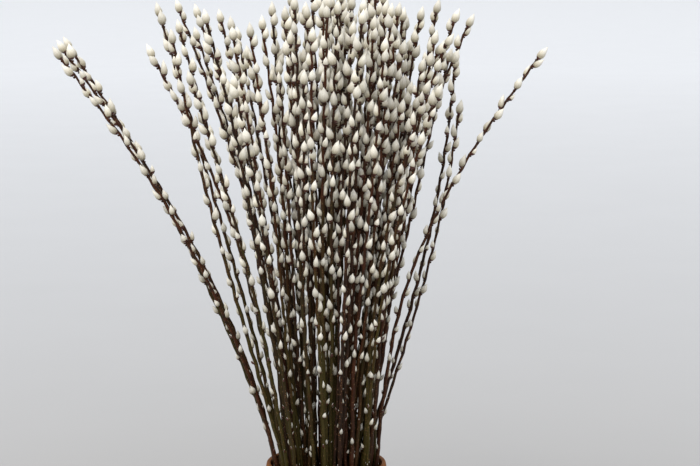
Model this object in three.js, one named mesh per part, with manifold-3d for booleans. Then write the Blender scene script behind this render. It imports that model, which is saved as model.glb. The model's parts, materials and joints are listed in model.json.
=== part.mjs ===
/**
 * A bunch of pussy willow stems standing in a plain stoneware vase.
 *
 * Millimetres, +Z up, origin at the centre of the vase's foot, -Y the front of the bunch.
 *
 * Every stem is one solid: a tapered rod that rises from the vase's floor, leaves the mouth,
 * fans out, and ends in a catkin. Some carry a side shoot, which is part of the same solid.
 * The stems are laid out as plan positions on a stack of levels, pushed apart until none
 * touches another, and then swept along a curve through those positions.
 */
import * as THREE from 'three';
import { mergeVertices } from 'three/addons/utils/BufferGeometryUtils.js';
import Module from 'manifold-3d';

const wasm = await Module();
wasm.setup();

// ---------------------------------------------------------------- driving dimensions

const VASE = {
	height: 270,
	footRadius: 58,
	bellyPull: 92, // the radii that draw the outer wall's curve outwards
	shoulderPull: 86,
	mouthRadius: 73, // outside, at the lip
	wall: 5,
	floor: 9,
	segments: 36,
	colour: 0xa9713c,
};

const STEM = {
	buttRadius: 3.6, // at the cut end
	neckRadius: 1.3, // just under the end catkin
	taper: 0.9, // below 1 the rod thins faster low down
	thinnest: 0.84, // stems differ in thickness between this share and the full radius
	sides: 6,
	floorGap: 0.6,
	bark: 0x4b2f22,
	catkin: {
		length: 17,
		radius: 4.8,
		shape: [
			{ along: 0.36, width: 1 },
			{ along: 0.74, width: 0.62 },
			{ along: 1, width: 0 },
		],
	},
};

// Side shoots. The forks are counted in levels from the foot, and a shoot stays close beside its
// stem for a few levels above the fork, so that no other stem comes between them. A low shoot
// parts from its stem inside the vase, and a high one well above it.
const SHOOT = {
	thickness: 0.78, // share of its stem's radius at the fork
	closeLevels: 3,
	closeGap: 8,
	play: 1,
	squash: 0.45, // shoots spread less to the sides than to the front and back
	low: { fork: [3, 7], beside: [26, 52], shorter: [0, 90] },
	high: { fork: [11, 17], beside: [24, 40], shorter: [20, 110] },
};

// The free way down the back of the vase, where water is poured in. Stems that would stand beside
// it carry no low shoot.
const WATER_WAY = { halfWidth: 20, from: 30, rise: 62, beside: 32 };

const MOUTH_DRAW = { x: 0.44, y: 0.52 }; // how much of its reach a stem keeps at the mouth
const FOOT_DRAW = 0.66; // and how much of that at the vase's floor
const SWAY = { single: [2, 6], bunched: [3, 8], turn: 2.5, depth: 0.6 }; // a stem's slow wander
const TIP_PLAY = 6; // tips stand this far off their even pattern
const FIRST_TURN = 0.6; // where a region's sunflower pattern starts
const EDGE_DROP = 0.55; // share of a region's range of heights that goes with the distance from its middle
const SPARE = { foot: 1.4, rim: 1.8, top: 4, overHeight: 300 }; // room beside a rod, for its catkins
const WALL_GAP = 3.4; // between a rod and the vase's wall
const NEAR = 34; // strands further apart than this can't meet before the next level
const LEVELS_IN_VASE = 9; // the stems are laid out level by level, at the same step above the mouth
const RING_STEP = { inVase: 2, above: 2 }; // levels between the rings of a rod
const SETTLE = { rounds: 160, hold: 0.96, smooth: 0.3, lastRounds: 60 };

// The places of the end catkins. x, y and z say where a stem ends; bow is how much of its lean
// comes late in its length. Single stems stand clear of the bunch and are placed one by one.
const SINGLE_STEMS = {
	far_left: [
		{ x: -323, y: -16, z: 774, bow: 0.6 },
		{ x: -321, y: 2, z: 781, bow: 0.55 },
		{ x: -316, y: 20, z: 784, bow: 0.5 },
	],
	lone_right: [{ x: 263, y: -10, z: 774, bow: 0.95 }],
	left: [
		{ x: -210, y: -40, z: 778, bow: 1 },
		{ x: -204, y: 34, z: 825, bow: 0.3 },
		{ x: -176, y: -72, z: 797, bow: -0.2 },
		{ x: -184, y: 72, z: 828, bow: 0.75 },
		{ x: -155, y: -10, z: 824, bow: 1 },
		{ x: -137, y: -92, z: 820, bow: 0.3 },
		{ x: -130, y: 44, z: 817, bow: 0.6 },
		{ x: -110, y: -50, z: 811, bow: 0.2 },
		{ x: -111, y: 88, z: 794, bow: 0.6 },
		{ x: -95, y: 4, z: 775, bow: 1 },
		{ x: -156, y: -100, z: 751, bow: 0.5 },
		{ x: -144, y: 98, z: 754, bow: 0.8 },
		{ x: -116, y: -26, z: 737, bow: 0.3 },
	],
	right: [
		{ x: 178, y: 24, z: 812, bow: 1.2 },
		{ x: 154, y: -60, z: 820, bow: 0.9 },
		{ x: 158, y: 62, z: 762, bow: -0.55 },
		{ x: 133, y: -10, z: 830, bow: 0.5 },
	],
};

// The rest fill two overlapping regions. Each is an ellipse in plan at the tips.
const REGIONS = {
	middle: { count: 31, x: 17, y: 0, halfX: 93, halfY: 118, lowest: 800, highest: 868, bow: [-0.3, 0.6] },
	right: { count: 6, x: 112, y: 0, halfX: 34, halfY: 88, lowest: 772, highest: 830, bow: [-0.3, 1] },
};

// Every how many stems of a group carry a low shoot, and a high one.
const SHOOTS_EVERY = {
	left: { low: 2 },
	right: { low: 1, high: 2 },
	middle: { low: 1, high: 2 },
};

// ---------------------------------------------------------------- small helpers

const lerp = THREE.MathUtils.lerp;
const clamp = THREE.MathUtils.clamp;
const GOLDEN_ANGLE = Math.PI * (3 - Math.sqrt(5));

/** A repeatable stream of numbers from 0 to 1. */
function seeded(seed) {
	let state = seed;
	return () => {
		state = (state + 0x6d2b79f5) | 0;
		let t = Math.imul(state ^ (state >>> 15), 1 | state);
		t = (t + Math.imul(t ^ (t >>> 7), 61 | t)) ^ t;
		return ((t ^ (t >>> 14)) >>> 0) / 4294967296;
	};
}

const random = seeded(21);
const between = ([low, high]) => lerp(low, high, random());

/** A geometry as a solid that can be joined to another. */
function toSolid(geometry) {
	const bare = geometry.clone();
	bare.deleteAttribute('normal');
	bare.deleteAttribute('uv');
	const merged = mergeVertices(bare, 1e-4);
	return new wasm.Manifold(
		new wasm.Mesh({
			numProp: 3,
			vertProperties: new Float32Array(merged.attributes.position.array),
			triVerts: new Uint32Array(merged.index.array),
		}),
	);
}

function toGeometry(solid) {
	const mesh = solid.getMesh();
	const geometry = new THREE.BufferGeometry();
	geometry.setAttribute('position', new THREE.BufferAttribute(mesh.vertProperties, 3));
	geometry.setIndex(new THREE.BufferAttribute(mesh.triVerts, 1));
	geometry.computeVertexNormals();
	return geometry;
}

// ---------------------------------------------------------------- the vase

/** The outer wall from foot to lip, as radius and height. */
const outerWall = new THREE.CubicBezierCurve(
	new THREE.Vector2(VASE.footRadius, 0),
	new THREE.Vector2(VASE.bellyPull, VASE.height * 0.28),
	new THREE.Vector2(VASE.shoulderPull, VASE.height * 0.7),
	new THREE.Vector2(VASE.mouthRadius, VASE.height - VASE.wall / 2),
);

/** The inside radius at a height, found by halving the outer wall's curve again and again. */
function innerRadius(z) {
	const halvings = 24;
	let low = 0;
	let high = 1;
	for (let i = 0; i < halvings; i++) {
		const half = (low + high) / 2;
		if (outerWall.getPoint(half).y < z) low = half;
		else high = half;
	}
	return outerWall.getPoint(low).x - VASE.wall;
}

function vaseGeometry() {
	const lipHeight = VASE.height - VASE.wall / 2;
	const outside = outerWall.getPoints(14);
	const lipMiddle = VASE.mouthRadius - VASE.wall / 2;
	const lip = [60, 90, 120].map((degrees) => {
		const a = THREE.MathUtils.degToRad(degrees);
		return new THREE.Vector2(
			lipMiddle + (VASE.wall / 2) * Math.cos(a),
			lipHeight + (VASE.wall / 2) * Math.sin(a),
		);
	});
	const inside = outside
		.filter((p) => p.y > VASE.floor * 1.5)
		.map((p) => new THREE.Vector2(p.x - VASE.wall, p.y))
		.reverse();
	const profile = [
		new THREE.Vector2(0, 0),
		...outside,
		...lip,
		...inside,
		new THREE.Vector2(innerRadius(VASE.floor) - 3, VASE.floor),
		new THREE.Vector2(0, VASE.floor),
	];
	return new THREE.LatheGeometry(profile, VASE.segments).rotateX(Math.PI / 2);
}

// ---------------------------------------------------------------- laying out the stems

const RIM = VASE.height;
const FIRST_LEVEL = VASE.floor + STEM.floorGap;
const LEVEL_STEP = (RIM - FIRST_LEVEL) / LEVELS_IN_VASE;
const levelHeight = (level) => FIRST_LEVEL + level * LEVEL_STEP;

/** Where a stem crosses the mouth: its tip's place drawn in, ever more the further out it is. */
function mouthPlace(tip) {
	const place = new THREE.Vector2(tip.x * MOUTH_DRAW.x, tip.y * MOUTH_DRAW.y);
	const most = innerRadius(RIM) - STEM.buttRadius - WALL_GAP;
	return place.setLength(most * Math.tanh(place.length() / most));
}

/** The planned place of a stem at a height: straight up to the mouth, then out to its tip. */
function plannedPlace(tip, z) {
	const mouth = mouthPlace(tip);
	if (z < RIM) return mouth.multiplyScalar(lerp(FOOT_DRAW, 1, (z - FIRST_LEVEL) / (RIM - FIRST_LEVEL)));
	const t = (z - RIM) / (tip.z - RIM);
	const out = (1 - tip.bow) * t + tip.bow * t * t;
	const sway = tip.sway * Math.sin(Math.PI * t) * Math.cos(tip.phase + SWAY.turn * t);
	return mouth.lerp(new THREE.Vector2(tip.x, tip.y), out).add(new THREE.Vector2(sway, sway * SWAY.depth));
}

function strandOf(tip, firstLevel = 0, parent = null) {
	const buttRadius = STEM.buttRadius * between([STEM.thinnest, 1]);
	const strand = { tip, firstLevel, parent, buttRadius, planned: [], places: [] };
	for (let level = firstLevel; levelHeight(level) < tip.z - STEM.catkin.length * 1.5; level++) {
		const place = plannedPlace(tip, levelHeight(level));
		strand.planned[level] = place;
		strand.places[level] = place.clone();
	}
	strand.lastLevel = strand.places.length - 1;
	return strand;
}

/** A side shoot leaves its parent part way up and ends a hand's breadth beside it. */
function shootOf(parent, kind) {
	const tip = { ...parent.tip };
	const forkLevel = Math.round(between(kind.fork));
	const turn = between([0, 2 * Math.PI]);
	const aside = new THREE.Vector2(SHOOT.squash * Math.cos(turn), Math.sin(turn)).multiplyScalar(between(kind.beside));
	tip.x += aside.x;
	tip.y += aside.y;
	tip.z -= between(kind.shorter);
	const shoot = strandOf(tip, forkLevel + 1, parent);
	for (let level = shoot.firstLevel; level <= shoot.lastLevel; level++) {
		const t = (level - forkLevel) / (shoot.lastLevel - forkLevel);
		// It parts from its stem quickly at first, then runs almost beside it.
		const place = plannedPlace(parent.tip, levelHeight(level)).addScaledVector(aside, t * (1.5 - 0.5 * t));
		shoot.planned[level] = place;
		shoot.places[level] = place.clone();
	}
	shoot.forkLevel = forkLevel;
	shoot.planned[forkLevel] = parent.planned[forkLevel];
	shoot.places[forkLevel] = parent.places[forkLevel]; // one place, which both strands share
	shoot.buttRadius = SHOOT.thickness * rodRadius(parent, levelHeight(forkLevel));
	return shoot;
}

/** A tip in a region: a sunflower pattern fills the ellipse evenly, and the height varies. */
function regionTip(region, index) {
	const reach = Math.sqrt((index + 0.5) / region.count);
	const turn = index * GOLDEN_ANGLE + FIRST_TURN;
	return {
		x: region.x + region.halfX * reach * Math.cos(turn) + between([-TIP_PLAY, TIP_PLAY]),
		y: region.y + region.halfY * reach * Math.sin(turn) + between([-TIP_PLAY, TIP_PLAY]),
		z: lerp(region.highest, region.lowest, lerp(random(), reach * reach, EDGE_DROP)),
		bow: between(region.bow),
		sway: between(SWAY.bunched),
		phase: between([0, 2 * Math.PI]),
	};
}

function shootsOf(strand, number, every) {
	const mouth = mouthPlace(strand.tip);
	const byWater = Math.abs(mouth.x) < WATER_WAY.beside && mouth.y > 0;
	const shoots = [];
	if (number % every?.low === 0 && !byWater) shoots.push(shootOf(strand, SHOOT.low));
	if (number % every?.high === 0) shoots.push(shootOf(strand, SHOOT.high));
	return shoots;
}

/** All strands, each stem before its shoots. Stems are numbered within their group. */
function layOut() {
	const strands = [];
	for (const group of ['far_left', 'lone_right', 'left', 'right', 'middle']) {
		const singles = SINGLE_STEMS[group] ?? [];
		const region = REGIONS[group] ?? { count: 0 };
		const numbered = singles.length + region.count > 1;
		for (let i = 0; i < singles.length + region.count; i++) {
			const single = { ...singles[i], sway: between(SWAY.single), phase: between([0, 2 * Math.PI]) };
			const strand = strandOf(singles[i] ? single : regionTip(region, i - singles.length));
			strand.name = numbered ? `${group}_stem_${String(i + 1).padStart(2, '0')}` : `${group}_stem`;
			strands.push(strand);
			strands.push(...shootsOf(strand, i + 1, SHOOTS_EVERY[group]));
		}
	}
	return strands;
}

/** Half the room that a strand needs at a level: its rod, and the catkins along it. */
function room(strand, level) {
	const z = levelHeight(level);
	const above = Math.min((z - RIM) / SPARE.overHeight, 1);
	const spare = z < RIM ? lerp(SPARE.foot, SPARE.rim, z / RIM) : lerp(SPARE.rim, SPARE.top, above);
	return rodRadius(strand, z) + spare;
}

function rodRadius(strand, z) {
	const start = strand.parent ? levelHeight(strand.forkLevel) : 0;
	const share = clamp((z - start) / (strand.tip.z - start), 0, 1);
	return lerp(strand.buttRadius, STEM.neckRadius, Math.pow(share, STEM.taper));
}

/** How much longer a leaning strand's level section is than its true width. */
function leanFactor(strand, level) {
	const above = strand.places[level + 1] ?? strand.places[level];
	const below = strand.places[level - 1] ?? strand.places[level];
	return Math.hypot(1, above.distanceTo(below) / (2 * LEVEL_STEP));
}

/** Moves two strands apart where they come closest on their way from one level to the next. */
function pushApart(a, b, level) {
	if (Math.abs(a.places[level].x - b.places[level].x) > NEAR) return;
	let need = (room(a, level) + room(b, level)) * Math.max(leanFactor(a, level), leanFactor(b, level));
	const kin = b.parent === a ? b : a.parent === b ? a : null;
	if (kin && level <= kin.forkLevel) return;
	if (kin) need = Math.min(need, SHOOT.closeGap * (level - kin.forkLevel) - SHOOT.play);
	const apart = b.places[level].clone().sub(a.places[level]);
	const drift = new THREE.Vector2();
	const goesOn = a.places[level + 1] && b.places[level + 1];
	if (goesOn) drift.copy(b.places[level + 1]).sub(a.places[level + 1]).sub(apart);
	const closest = clamp(-apart.dot(drift) / Math.max(drift.lengthSq(), 1e-6), 0, 1);
	apart.addScaledVector(drift, closest);
	const distance = apart.length();
	if (distance >= need) return;
	if (distance < 1e-6) apart.set(-drift.y || 1, drift.x);
	apart.setLength((need - distance) / 2 / ((1 - closest) ** 2 + closest ** 2));
	a.places[level].addScaledVector(apart, closest - 1);
	b.places[level].addScaledVector(apart, 1 - closest);
	if (!goesOn) return;
	a.places[level + 1].addScaledVector(apart, -closest);
	b.places[level + 1].addScaledVector(apart, closest);
}

/** How a strand goes round the free way for water: 0 is in front of it, -1 and 1 beside it. */
function wayRound(tip) {
	const mouth = mouthPlace(tip);
	const isInFront = mouth.y - WATER_WAY.from < WATER_WAY.halfWidth - Math.abs(mouth.x);
	return isInFront ? 0 : Math.sign(mouth.x);
}

/** Keeps a place inside the vase and out of the water's way. */
function keepInside(strand, level) {
	const z = levelHeight(level);
	if (z > RIM + WATER_WAY.rise) return;
	const place = strand.places[level];
	const radius = rodRadius(strand, z) * leanFactor(strand, level);
	const side = wayRound(strand.tip);
	if (side === 0) place.y = Math.min(place.y, WATER_WAY.from - radius);
	else place.x = side * Math.max(side * place.x, WATER_WAY.halfWidth + radius);
	if (level > LEVELS_IN_VASE) return;
	const most = innerRadius(z) - radius - WALL_GAP;
	if (place.length() > most) place.setLength(most);
}

/** Holds a shoot close beside its stem just above the fork. */
function keepByParent(strand, level) {
	if (!strand.parent || level === strand.forkLevel || level > strand.forkLevel + SHOOT.closeLevels) return;
	const beside = strand.places[level].clone().sub(strand.parent.places[level]);
	beside.clampLength(0, SHOOT.closeGap * (level - strand.forkLevel));
	strand.places[level].copy(strand.parent.places[level]).add(beside);
}

/** Smooths how far a strand has been pushed, so that the push doesn't kink it. */
function smoothPush(strand) {
	const pushes = strand.places.map((place, level) => place.clone().sub(strand.planned[level]));
	for (let level = strand.firstLevel; level <= strand.lastLevel; level++) {
		const below = pushes[level - 1] ?? pushes[level];
		const above = pushes[level + 1] ?? pushes[level];
		const even = below.clone().add(above).multiplyScalar(0.5);
		const push = pushes[level].clone().lerp(even, SETTLE.smooth).multiplyScalar(SETTLE.hold);
		strand.places[level].copy(strand.planned[level]).add(push);
	}
}

function settle(strands) {
	const levels = Math.max(...strands.map((s) => s.lastLevel));
	for (let round = 0; round < SETTLE.rounds + SETTLE.lastRounds; round++) {
		if (round < SETTLE.rounds) strands.forEach(smoothPush);
		for (let level = 0; level <= levels; level++) {
			const here = strands.filter((s) => s.places[level]);
			here.forEach((a, i) => here.slice(i + 1).forEach((b) => pushApart(a, b, level)));
			here.forEach((s) => keepInside(s, level));
			here.forEach((s) => keepByParent(s, level));
		}
	}
}

// ---------------------------------------------------------------- the stems' solids

/** A strand's middle as points, one for each level, then the end catkin's two ends. */
function knotsOf(strand) {
	const knots = [];
	if (strand.parent) {
		const fork = strand.parent.places[strand.forkLevel];
		knots.push({ level: strand.forkLevel, point: atLevel(fork, strand.forkLevel) });
	}
	for (let level = strand.firstLevel; level <= strand.lastLevel; level++) {
		knots.push({ level, point: atLevel(strand.places[level], level) });
	}
	const top = knots.at(-1).point;
	const heading = top.clone().sub(knots.at(-2).point).normalize();
	const tip = top.clone().addScaledVector(heading, (strand.tip.z - top.z) / heading.z);
	knots.push({ level: 'neck', point: tip.clone().addScaledVector(heading, -STEM.catkin.length) });
	knots.push({ level: 'tip', point: tip });
	return knots;
}

const atLevel = (place, level) => new THREE.Vector3(place.x, place.y, levelHeight(level));

/** Rings stand at a rod's ends, at the mouth, evenly below and above it, and close above a fork. */
function hasRing(strand, level, index) {
	if (index === 0 || level === 'neck') return true;
	if (strand.parent && index <= SHOOT.closeLevels) return true;
	const step = level < LEVELS_IN_VASE ? RING_STEP.inVase : RING_STEP.above;
	return Math.abs(level - LEVELS_IN_VASE) % step === 0;
}

/** A rod with an end catkin, turned on a lathe and bent along its middle, one knot to a unit. */
function rodGeometry(strand) {
	const knots = knotsOf(strand);
	const curve = new THREE.CatmullRomCurve3(knots.map((knot) => knot.point), false, 'centripetal');
	const tipAt = knots.length - 1;
	const neckAt = tipAt - 1;
	const profile = [new THREE.Vector2(0, 0)];
	knots.forEach(({ level, point }, i) => {
		if (i < tipAt && hasRing(strand, level, i)) profile.push(new THREE.Vector2(rodRadius(strand, point.z), i));
	});
	const { radius, shape } = STEM.catkin;
	for (const { along, width } of shape) profile.push(new THREE.Vector2(radius * width, neckAt + along));
	const rod = new THREE.LatheGeometry(profile, STEM.sides);
	const place = rod.attributes.position;
	const east = new THREE.Vector3(1, 0, 0);
	for (let i = 0; i < place.count; i++) {
		const share = clamp(place.getY(i) / tipAt, 0, 1);
		const along = curve.getTangent(share);
		const side = east.clone().addScaledVector(along, -along.x).normalize();
		const back = along.clone().cross(side);
		const point = curve
			.getPoint(share)
			.addScaledVector(side, place.getX(i))
			.addScaledVector(back, -place.getZ(i));
		place.setXYZ(i, point.x, point.y, point.z);
	}
	return rod;
}

// ---------------------------------------------------------------- the bunch

const bark = new THREE.MeshStandardMaterial({ color: STEM.bark, roughness: 0.55, metalness: 0 });
const stoneware = new THREE.MeshStandardMaterial({ color: VASE.colour, roughness: 0.45, metalness: 0 });

function named(name, geometry, material) {
	const mesh = new THREE.Mesh(geometry, material);
	mesh.name = name;
	return mesh;
}

const bunch = new THREE.Group();
bunch.add(named('vase', vaseGeometry(), stoneware));

const strands = layOut();
settle(strands);
const cutEndLift = STEM.buttRadius * 0.2; // a leaning stem's cut end tips down this far
for (const strand of strands.filter((s) => !s.parent)) {
	const shoots = strands.filter((s) => s.parent === strand);
	const solid = shoots.reduce((whole, s) => whole.add(toSolid(rodGeometry(s))), toSolid(rodGeometry(strand)));
	const stem = named(strand.name, toGeometry(solid), bark);
	stem.position.z = cutEndLift;
	bunch.add(stem);
}

export default bunch;
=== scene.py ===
"""A bunch of pussy willow in a plain stoneware vase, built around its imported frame.

The frame gives each stem as a bare rod and the vase as a plain shell. Here every rod becomes a
willow stem with swollen nodes, silky catkins in their bud scales and leaf scars, and the shell
becomes a thrown stoneware vase. Lengths are in metres.
"""

import itertools
import json
import math
import random

import bmesh
import bpy
from mathutils import Euler, Matrix, Quaternion, Vector
from mathutils.kdtree import KDTree

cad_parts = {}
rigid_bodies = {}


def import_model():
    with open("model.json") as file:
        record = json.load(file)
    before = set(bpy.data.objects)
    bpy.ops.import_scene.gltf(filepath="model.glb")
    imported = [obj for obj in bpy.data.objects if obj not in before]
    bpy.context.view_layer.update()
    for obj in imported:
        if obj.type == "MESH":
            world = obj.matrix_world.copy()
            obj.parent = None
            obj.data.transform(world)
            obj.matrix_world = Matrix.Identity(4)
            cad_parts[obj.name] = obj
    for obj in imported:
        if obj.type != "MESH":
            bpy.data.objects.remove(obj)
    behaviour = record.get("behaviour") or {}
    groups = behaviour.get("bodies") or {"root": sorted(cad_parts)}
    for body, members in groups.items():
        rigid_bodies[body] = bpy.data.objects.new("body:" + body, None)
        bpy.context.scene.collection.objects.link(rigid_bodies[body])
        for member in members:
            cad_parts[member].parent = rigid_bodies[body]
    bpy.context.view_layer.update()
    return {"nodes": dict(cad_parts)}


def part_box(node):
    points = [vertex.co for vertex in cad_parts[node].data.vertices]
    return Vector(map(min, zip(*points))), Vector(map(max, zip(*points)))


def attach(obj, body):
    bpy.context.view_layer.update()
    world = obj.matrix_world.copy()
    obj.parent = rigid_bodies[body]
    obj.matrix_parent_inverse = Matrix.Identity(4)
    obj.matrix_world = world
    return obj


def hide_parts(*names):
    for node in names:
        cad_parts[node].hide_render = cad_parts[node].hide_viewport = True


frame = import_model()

bl_info = {
    "name": "Willow Stems in a Vase",
    "version": (1, 0, 0),
    "blender": (4, 5, 0),
    "location": "View3D > Sidebar > Willow",
    "description": "Makes catkin-covered willow stems and their vase around a plain frame",
    "category": "Add Mesh",
}

MM = 0.001
SAME_PLACE = 0.01 * MM  # points closer than this are one point
UP = Vector((0, 0, 1))
VASE_NODE = "vase"
STEM_NODES = sorted(name for name in frame["nodes"] if name != VASE_NODE)
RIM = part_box(VASE_NODE)[1][2]


def linear(hex_colour):
    """An sRGB hex colour as linear red, green, blue and a full alpha."""
    parts = [int(hex_colour[i:i + 2], 16) / 255 for i in (1, 3, 5)]
    return tuple(c / 12.92 if c <= 0.04045 else ((c + 0.055) / 1.055) ** 2.4 for c in parts) + (1.0,)


def stand(name, data):
    """Puts an object with the given data into the scene."""
    thing = bpy.data.objects.new(name, data)
    bpy.context.scene.collection.objects.link(thing)
    return thing


def mix(low, high, way):
    """A value the given share of the way from low to high."""
    return low + (high - low) * way


def held(value, low=0.0, high=1.0):
    """A value kept between two ends."""
    return max(low, min(high, value))


# ---------------------------------------------------------------- settings


def length(name, description, millimetres):
    """A length setting, given in millimetres."""
    return bpy.props.FloatProperty(
        name=name, description=description, default=millimetres * MM, min=0, unit="LENGTH", precision=5)


def share(name, description, default):
    """A setting from 0 to 1."""
    return bpy.props.FloatProperty(
        name=name, description=description, default=default, min=0, max=1, subtype="FACTOR")


def colour(name, description, hex_colour):
    """A colour setting."""
    return bpy.props.FloatVectorProperty(
        name=name, description=description, default=linear(hex_colour), size=4, min=0, max=1,
        subtype="COLOR")


class WillowStemSettings(bpy.types.PropertyGroup):
    """Sizes and colours of the bare stems."""

    cut_step: length("Cut Step", "Height between the level cuts that find a stem's middle", 12)
    ring_spacing: length("Ring Spacing", "Distance between the rings of a stem's skin", 4)
    sides: bpy.props.IntProperty(name="Sides", description="Faces around a stem", default=8, min=5)
    zigzag: length("Zigzag", "How far a stem steps aside at each bud", 0.8)
    swelling: length("Node Swelling", "How far the bark swells out below a bud", 0.5)
    swelling_reach: length("Swelling Reach", "Distance from a bud over which the bark swells", 5)
    red_bark: colour("Red Bark", "Young bark on the sunny side", "#412110")
    brown_bark: colour("Brown Bark", "Older bark", "#21150b")
    olive_bark: colour("Olive Bark", "Bark on the shaded side, lower down", "#38300f")
    lenticel: colour("Lenticels", "Small pale pores in the bark", "#6d5034")
    cut_wood: colour("Cut Wood", "The pale wood of a cut end", "#cbb184")
    dark_wood: colour("Dark Wood", "The fibres' ends in it", "#a98a5b")


class WillowCatkinSettings(bpy.types.PropertyGroup):
    """Sizes, spacing and colours of the catkins and their bud scales."""

    top_length: length("Top Length", "Length of a catkin near a stem's tip", 19)
    low_length: length("Low Length", "Length of a catkin near the vase", 10)
    slimness: share("Slimness", "A catkin's width as a share of its length", 0.49)
    top_spacing: length("Top Spacing", "Distance between buds near a stem's tip", 16)
    low_spacing: length("Low Spacing", "Distance between buds near the vase", 24)
    seed: bpy.props.IntProperty(name="Seed", description="Fixes where the buds fall", default=7)
    # The tip's white is the silk's own colour with a painted highlight.
    silk_tip_and_highlight: colour("Silk Tip", "Long silky hairs at a catkin's tip", "#faf5e8")
    silk_body: colour("Silk Body", "Shorter grey hairs over its middle", "#bfb69f")
    # The base's dark is the hairs' own colour with painted shade.
    silk_base_and_shade: colour("Silk Base", "Hairs in shade near the bud scale", "#74684d")
    scale_red: colour("Scale Red", "Glossy bud scale", "#4a1f14")
    scale_brown: colour("Scale Brown", "Dry edge of a bud scale", "#24130d")


class WillowVaseSettings(bpy.types.PropertyGroup):
    """Sizes and colours of the vase."""

    segments: bpy.props.IntProperty(
        name="Segments", description="Faces around the vase", default=128, min=16)
    ring_pitch: length("Ring Pitch", "Height between the potter's throwing rings", 7)
    ring_depth: length("Ring Depth", "Depth of the throwing rings", 0.22)
    clay: colour("Clay", "Caramel stoneware", "#8c5824")
    dark_clay: colour("Dark Clay", "Where the kiln toasted it", "#693b14")
    speck: colour("Speck", "Iron specks", "#3a2113")


class WillowStageSettings(bpy.types.PropertyGroup):
    """The floor, the lights and the camera."""

    distance: length("Camera Distance", "From the camera to the middle of the view", 2200)
    lens: bpy.props.FloatProperty(name="Lens", description="Focal length in mm", default=94.3, min=10)
    pitch: bpy.props.FloatProperty(
        name="Pitch", description="How far the camera looks down", default=math.radians(8.3),
        subtype="ANGLE")
    aim_side: length("Aim Side", "How far right of the vase's axis the camera aims", 29)
    aim_height: length("Aim Height", "Height that the camera aims at", 552)
    floor_radius: length("Floor Radius", "Radius of the round floor", 90000)
    near_floor: colour("Near Floor", "Pale matt floor around the vase", "#bab8b6")
    # The far floor's paler colour is painted light.
    far_floor_painted_light: colour("Far Floor", "The same floor, far off", "#f6f6f7")
    sky: colour("Sky", "Light from all around", "#f0f3f7")


class WillowSettings(bpy.types.PropertyGroup):
    """All the settings of the bunch."""

    stems: bpy.props.PointerProperty(type=WillowStemSettings, name="Stems")
    catkins: bpy.props.PointerProperty(type=WillowCatkinSettings, name="Catkins")
    vase: bpy.props.PointerProperty(type=WillowVaseSettings, name="Vase")
    stage: bpy.props.PointerProperty(type=WillowStageSettings, name="Stage")


# ---------------------------------------------------------------- node helpers


def add(tree, kind, values=None, **settings):
    """Adds a node. Settings are its own properties; values are constants or links for its inputs."""
    node = tree.nodes.new(kind)
    for name, value in settings.items():
        setattr(node, name, value)
    for key, value in (values or {}).items():
        if isinstance(value, bpy.types.NodeSocket):
            tree.links.new(value, node.inputs[key])
        else:
            node.inputs[key].default_value = value
    return node


def made(tree, kind, values=None, **settings):
    """Adds a node and gives its first output."""
    return add(tree, kind, values, **settings).outputs[0]


def new_material(name):
    """An empty node material and its tree."""
    material = bpy.data.materials.new(name)
    material.use_nodes = True
    material.node_tree.nodes.clear()
    return material, material.node_tree


def with_shader(material, values):
    """The material with a Principled shader whose sockets are set or linked."""
    shader = made(material.node_tree, "ShaderNodeBsdfPrincipled", values)
    add(material.node_tree, "ShaderNodeOutputMaterial", {"Surface": shader})
    return material


def maths(tree, operation, *inputs, **settings):
    """The result of a maths node."""
    return made(tree, "ShaderNodeMath", dict(enumerate(inputs)), operation=operation, **settings)


def product(tree, a, b):
    """Two values multiplied."""
    return maths(tree, "MULTIPLY", a, b)


def ranged(tree, value, start, end, low, high, **settings):
    """A value's way from start to end, as a value from low to high."""
    inputs = {0: value, 1: start, 2: end, 3: low, 4: high}
    return made(tree, "ShaderNodeMapRange", inputs, **settings)


def blended(tree, way, first, second, **settings):
    """A colour the given way from the first colour to the second."""
    inputs = {0: way, 6: first, 7: second}
    return add(tree, "ShaderNodeMix", inputs, data_type="RGBA", **settings).outputs[2]


def shaded(tree, tint, shade):
    """A colour multiplied by a shade."""
    return blended(tree, 1.0, tint, shade, blend_type="MULTIPLY")


def stretched(tree, place, scales):
    """A place with each of its axes scaled."""
    return made(tree, "ShaderNodeMapping", {0: place, 3: scales})


def noise(tree, place, scale, **inputs):
    """Cloudy noise from 0 to 1."""
    return made(tree, "ShaderNodeTexNoise", {"Vector": place, "Scale": scale, **inputs})


def mesh_attribute(tree, name, output="Fac"):
    """A named attribute of the mesh, as its material reads it."""
    return add(tree, "ShaderNodeAttribute", attribute_name=name).outputs[output]


def object_place(tree):
    """The place on the finished object, in metres."""
    return add(tree, "ShaderNodeTexCoord").outputs["Object"]


def height_of(tree, place):
    """The upward part of a place or a direction."""
    return add(tree, "ShaderNodeSeparateXYZ", {0: place}).outputs[2]


def relief_of(tree, height, strength, millimetres):
    """A surface normal that stands up where a pattern is high."""
    inputs = {"Strength": strength, "Distance": millimetres * MM, "Height": height}
    return made(tree, "ShaderNodeBump", inputs)


def ramp_node(tree, factor, stops):
    """A colour ramp from position and colour stops."""
    node = add(tree, "ShaderNodeValToRGB", {0: factor})
    elements = node.color_ramp.elements
    while len(elements) < len(stops):
        elements.new(1)
    for element, (position, tint) in zip(elements, stops):
        element.position = position
        element.color = tint
    return node.outputs[0]


# ---------------------------------------------------------------- materials


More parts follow.
